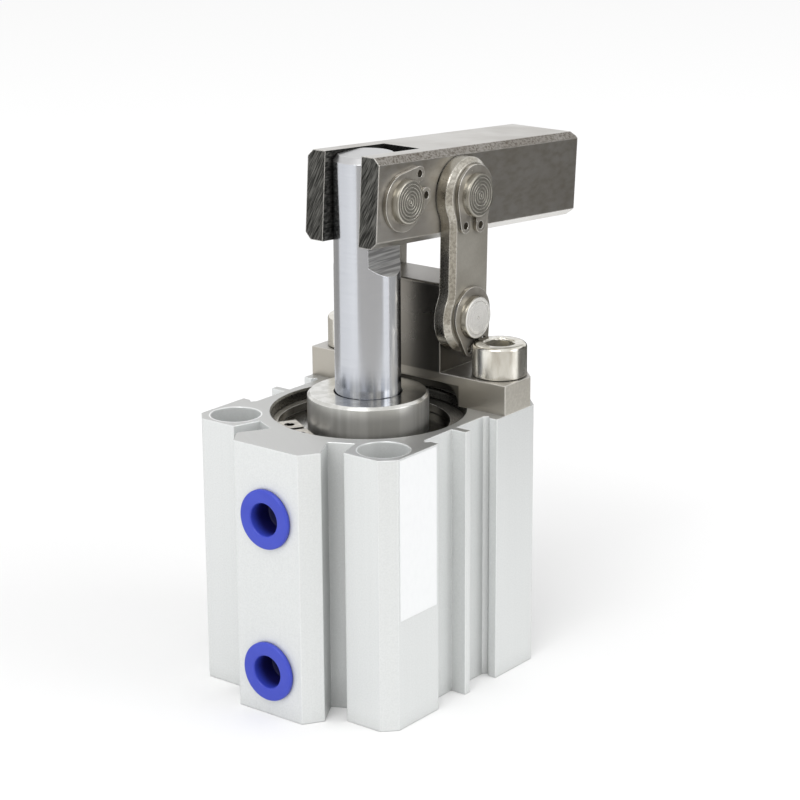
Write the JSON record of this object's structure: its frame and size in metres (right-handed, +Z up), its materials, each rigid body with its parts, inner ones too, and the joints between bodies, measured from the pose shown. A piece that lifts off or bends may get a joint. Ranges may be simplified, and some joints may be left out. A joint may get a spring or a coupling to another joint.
{
  "type": "pneumatic lever clamp cylinder",
  "caption": "Compact square air cylinder with a forked clamp lever that swings over two side links as the rod moves.",
  "frame": {"origin": "on the rod axis, in the bottom face of the cylinder body", "axes": "+Z up along the rod, +X along the closed lever towards its tip, ports facing -X"},
  "size_m": [0.0842, 0.0451, 0.0979],
  "materials": {
    "body_aluminium": "clear anodised, bead blasted",
    "cover_aluminium": "turned, satin",
    "plated_steel": "nickel plated, satin",
    "rod_chrome": "hard chrome, polished",
    "pin_steel": "turned ends",
    "clip_steel": "spring steel, plated",
    "screw_nickel": "nickel plated, bright",
    "seal_rubber": "black",
    "bumper_rubber": "dark urethane",
    "bush_bronze": "sintered",
    "magnet_compound": "dark bonded magnet",
    "plug_plastic": "blue, moulded",
    "label_film": "white film, bare"
  },
  "bodies": {
    "cylinder": {"cylinder_body": "body_aluminium", "front_cover": "cover_aluminium", "rear_cover": "cover_aluminium", "clamp_bracket": "plated_steel", "lower_pin": "pin_steel", "lower_pin_clip_near": "clip_steel", "lower_pin_clip_far": "clip_steel", "front_retaining_ring": "clip_steel", "rear_retaining_ring": "clip_steel", "bracket_screw_left": "screw_nickel", "bracket_screw_right": "screw_nickel", "rod_seal": "seal_rubber", "front_cover_sealing_ring": "seal_rubber", "rear_cover_sealing_ring": "seal_rubber", "front_bumper": "bumper_rubber", "rear_bumper": "bumper_rubber", "rod_bush": "bush_bronze", "port_plug_upper": "plug_plastic", "port_plug_lower": "plug_plastic", "blank_label": "label_film"},
    "rod": {"piston_rod": "rod_chrome", "piston": "cover_aluminium", "piston_seal": "seal_rubber", "magnet_ring": "magnet_compound", "piston_screw": "screw_nickel"},
    "lever": {"clamp_lever": "plated_steel", "rod_pin": "pin_steel", "rod_pin_clip_near": "clip_steel", "rod_pin_clip_far": "clip_steel"},
    "links": {"side_link_near": "plated_steel", "side_link_far": "plated_steel", "fulcrum_pin": "pin_steel", "fulcrum_pin_clip_near": "clip_steel", "fulcrum_pin_clip_far": "clip_steel"}
  },
  "joints": [
    {"name": "rod_slide", "type": "slide", "parent": "cylinder", "child": "rod", "axis": [0, 0, -1], "range_m": [0, 0.022]},
    {"name": "lever_swing", "type": "hinge", "parent": "rod", "child": "lever", "pos_m": [0, 0, 0.0894], "axis": [0, -1, 0], "range_deg": [0, 81.41]},
    {"name": "link_swing", "type": "hinge", "parent": "cylinder", "child": "links", "pos_m": [0.0158, 0, 0.0658], "axis": [0, -1, 0], "range_deg": [0, 29.49]}
  ],
  "couplings": [
    {"joint": "lever_swing", "follows": "rod_slide", "rad_per_m": 64.577},
    {"joint": "link_swing", "follows": "rod_slide", "rad_per_m": 23.387}
  ]
}
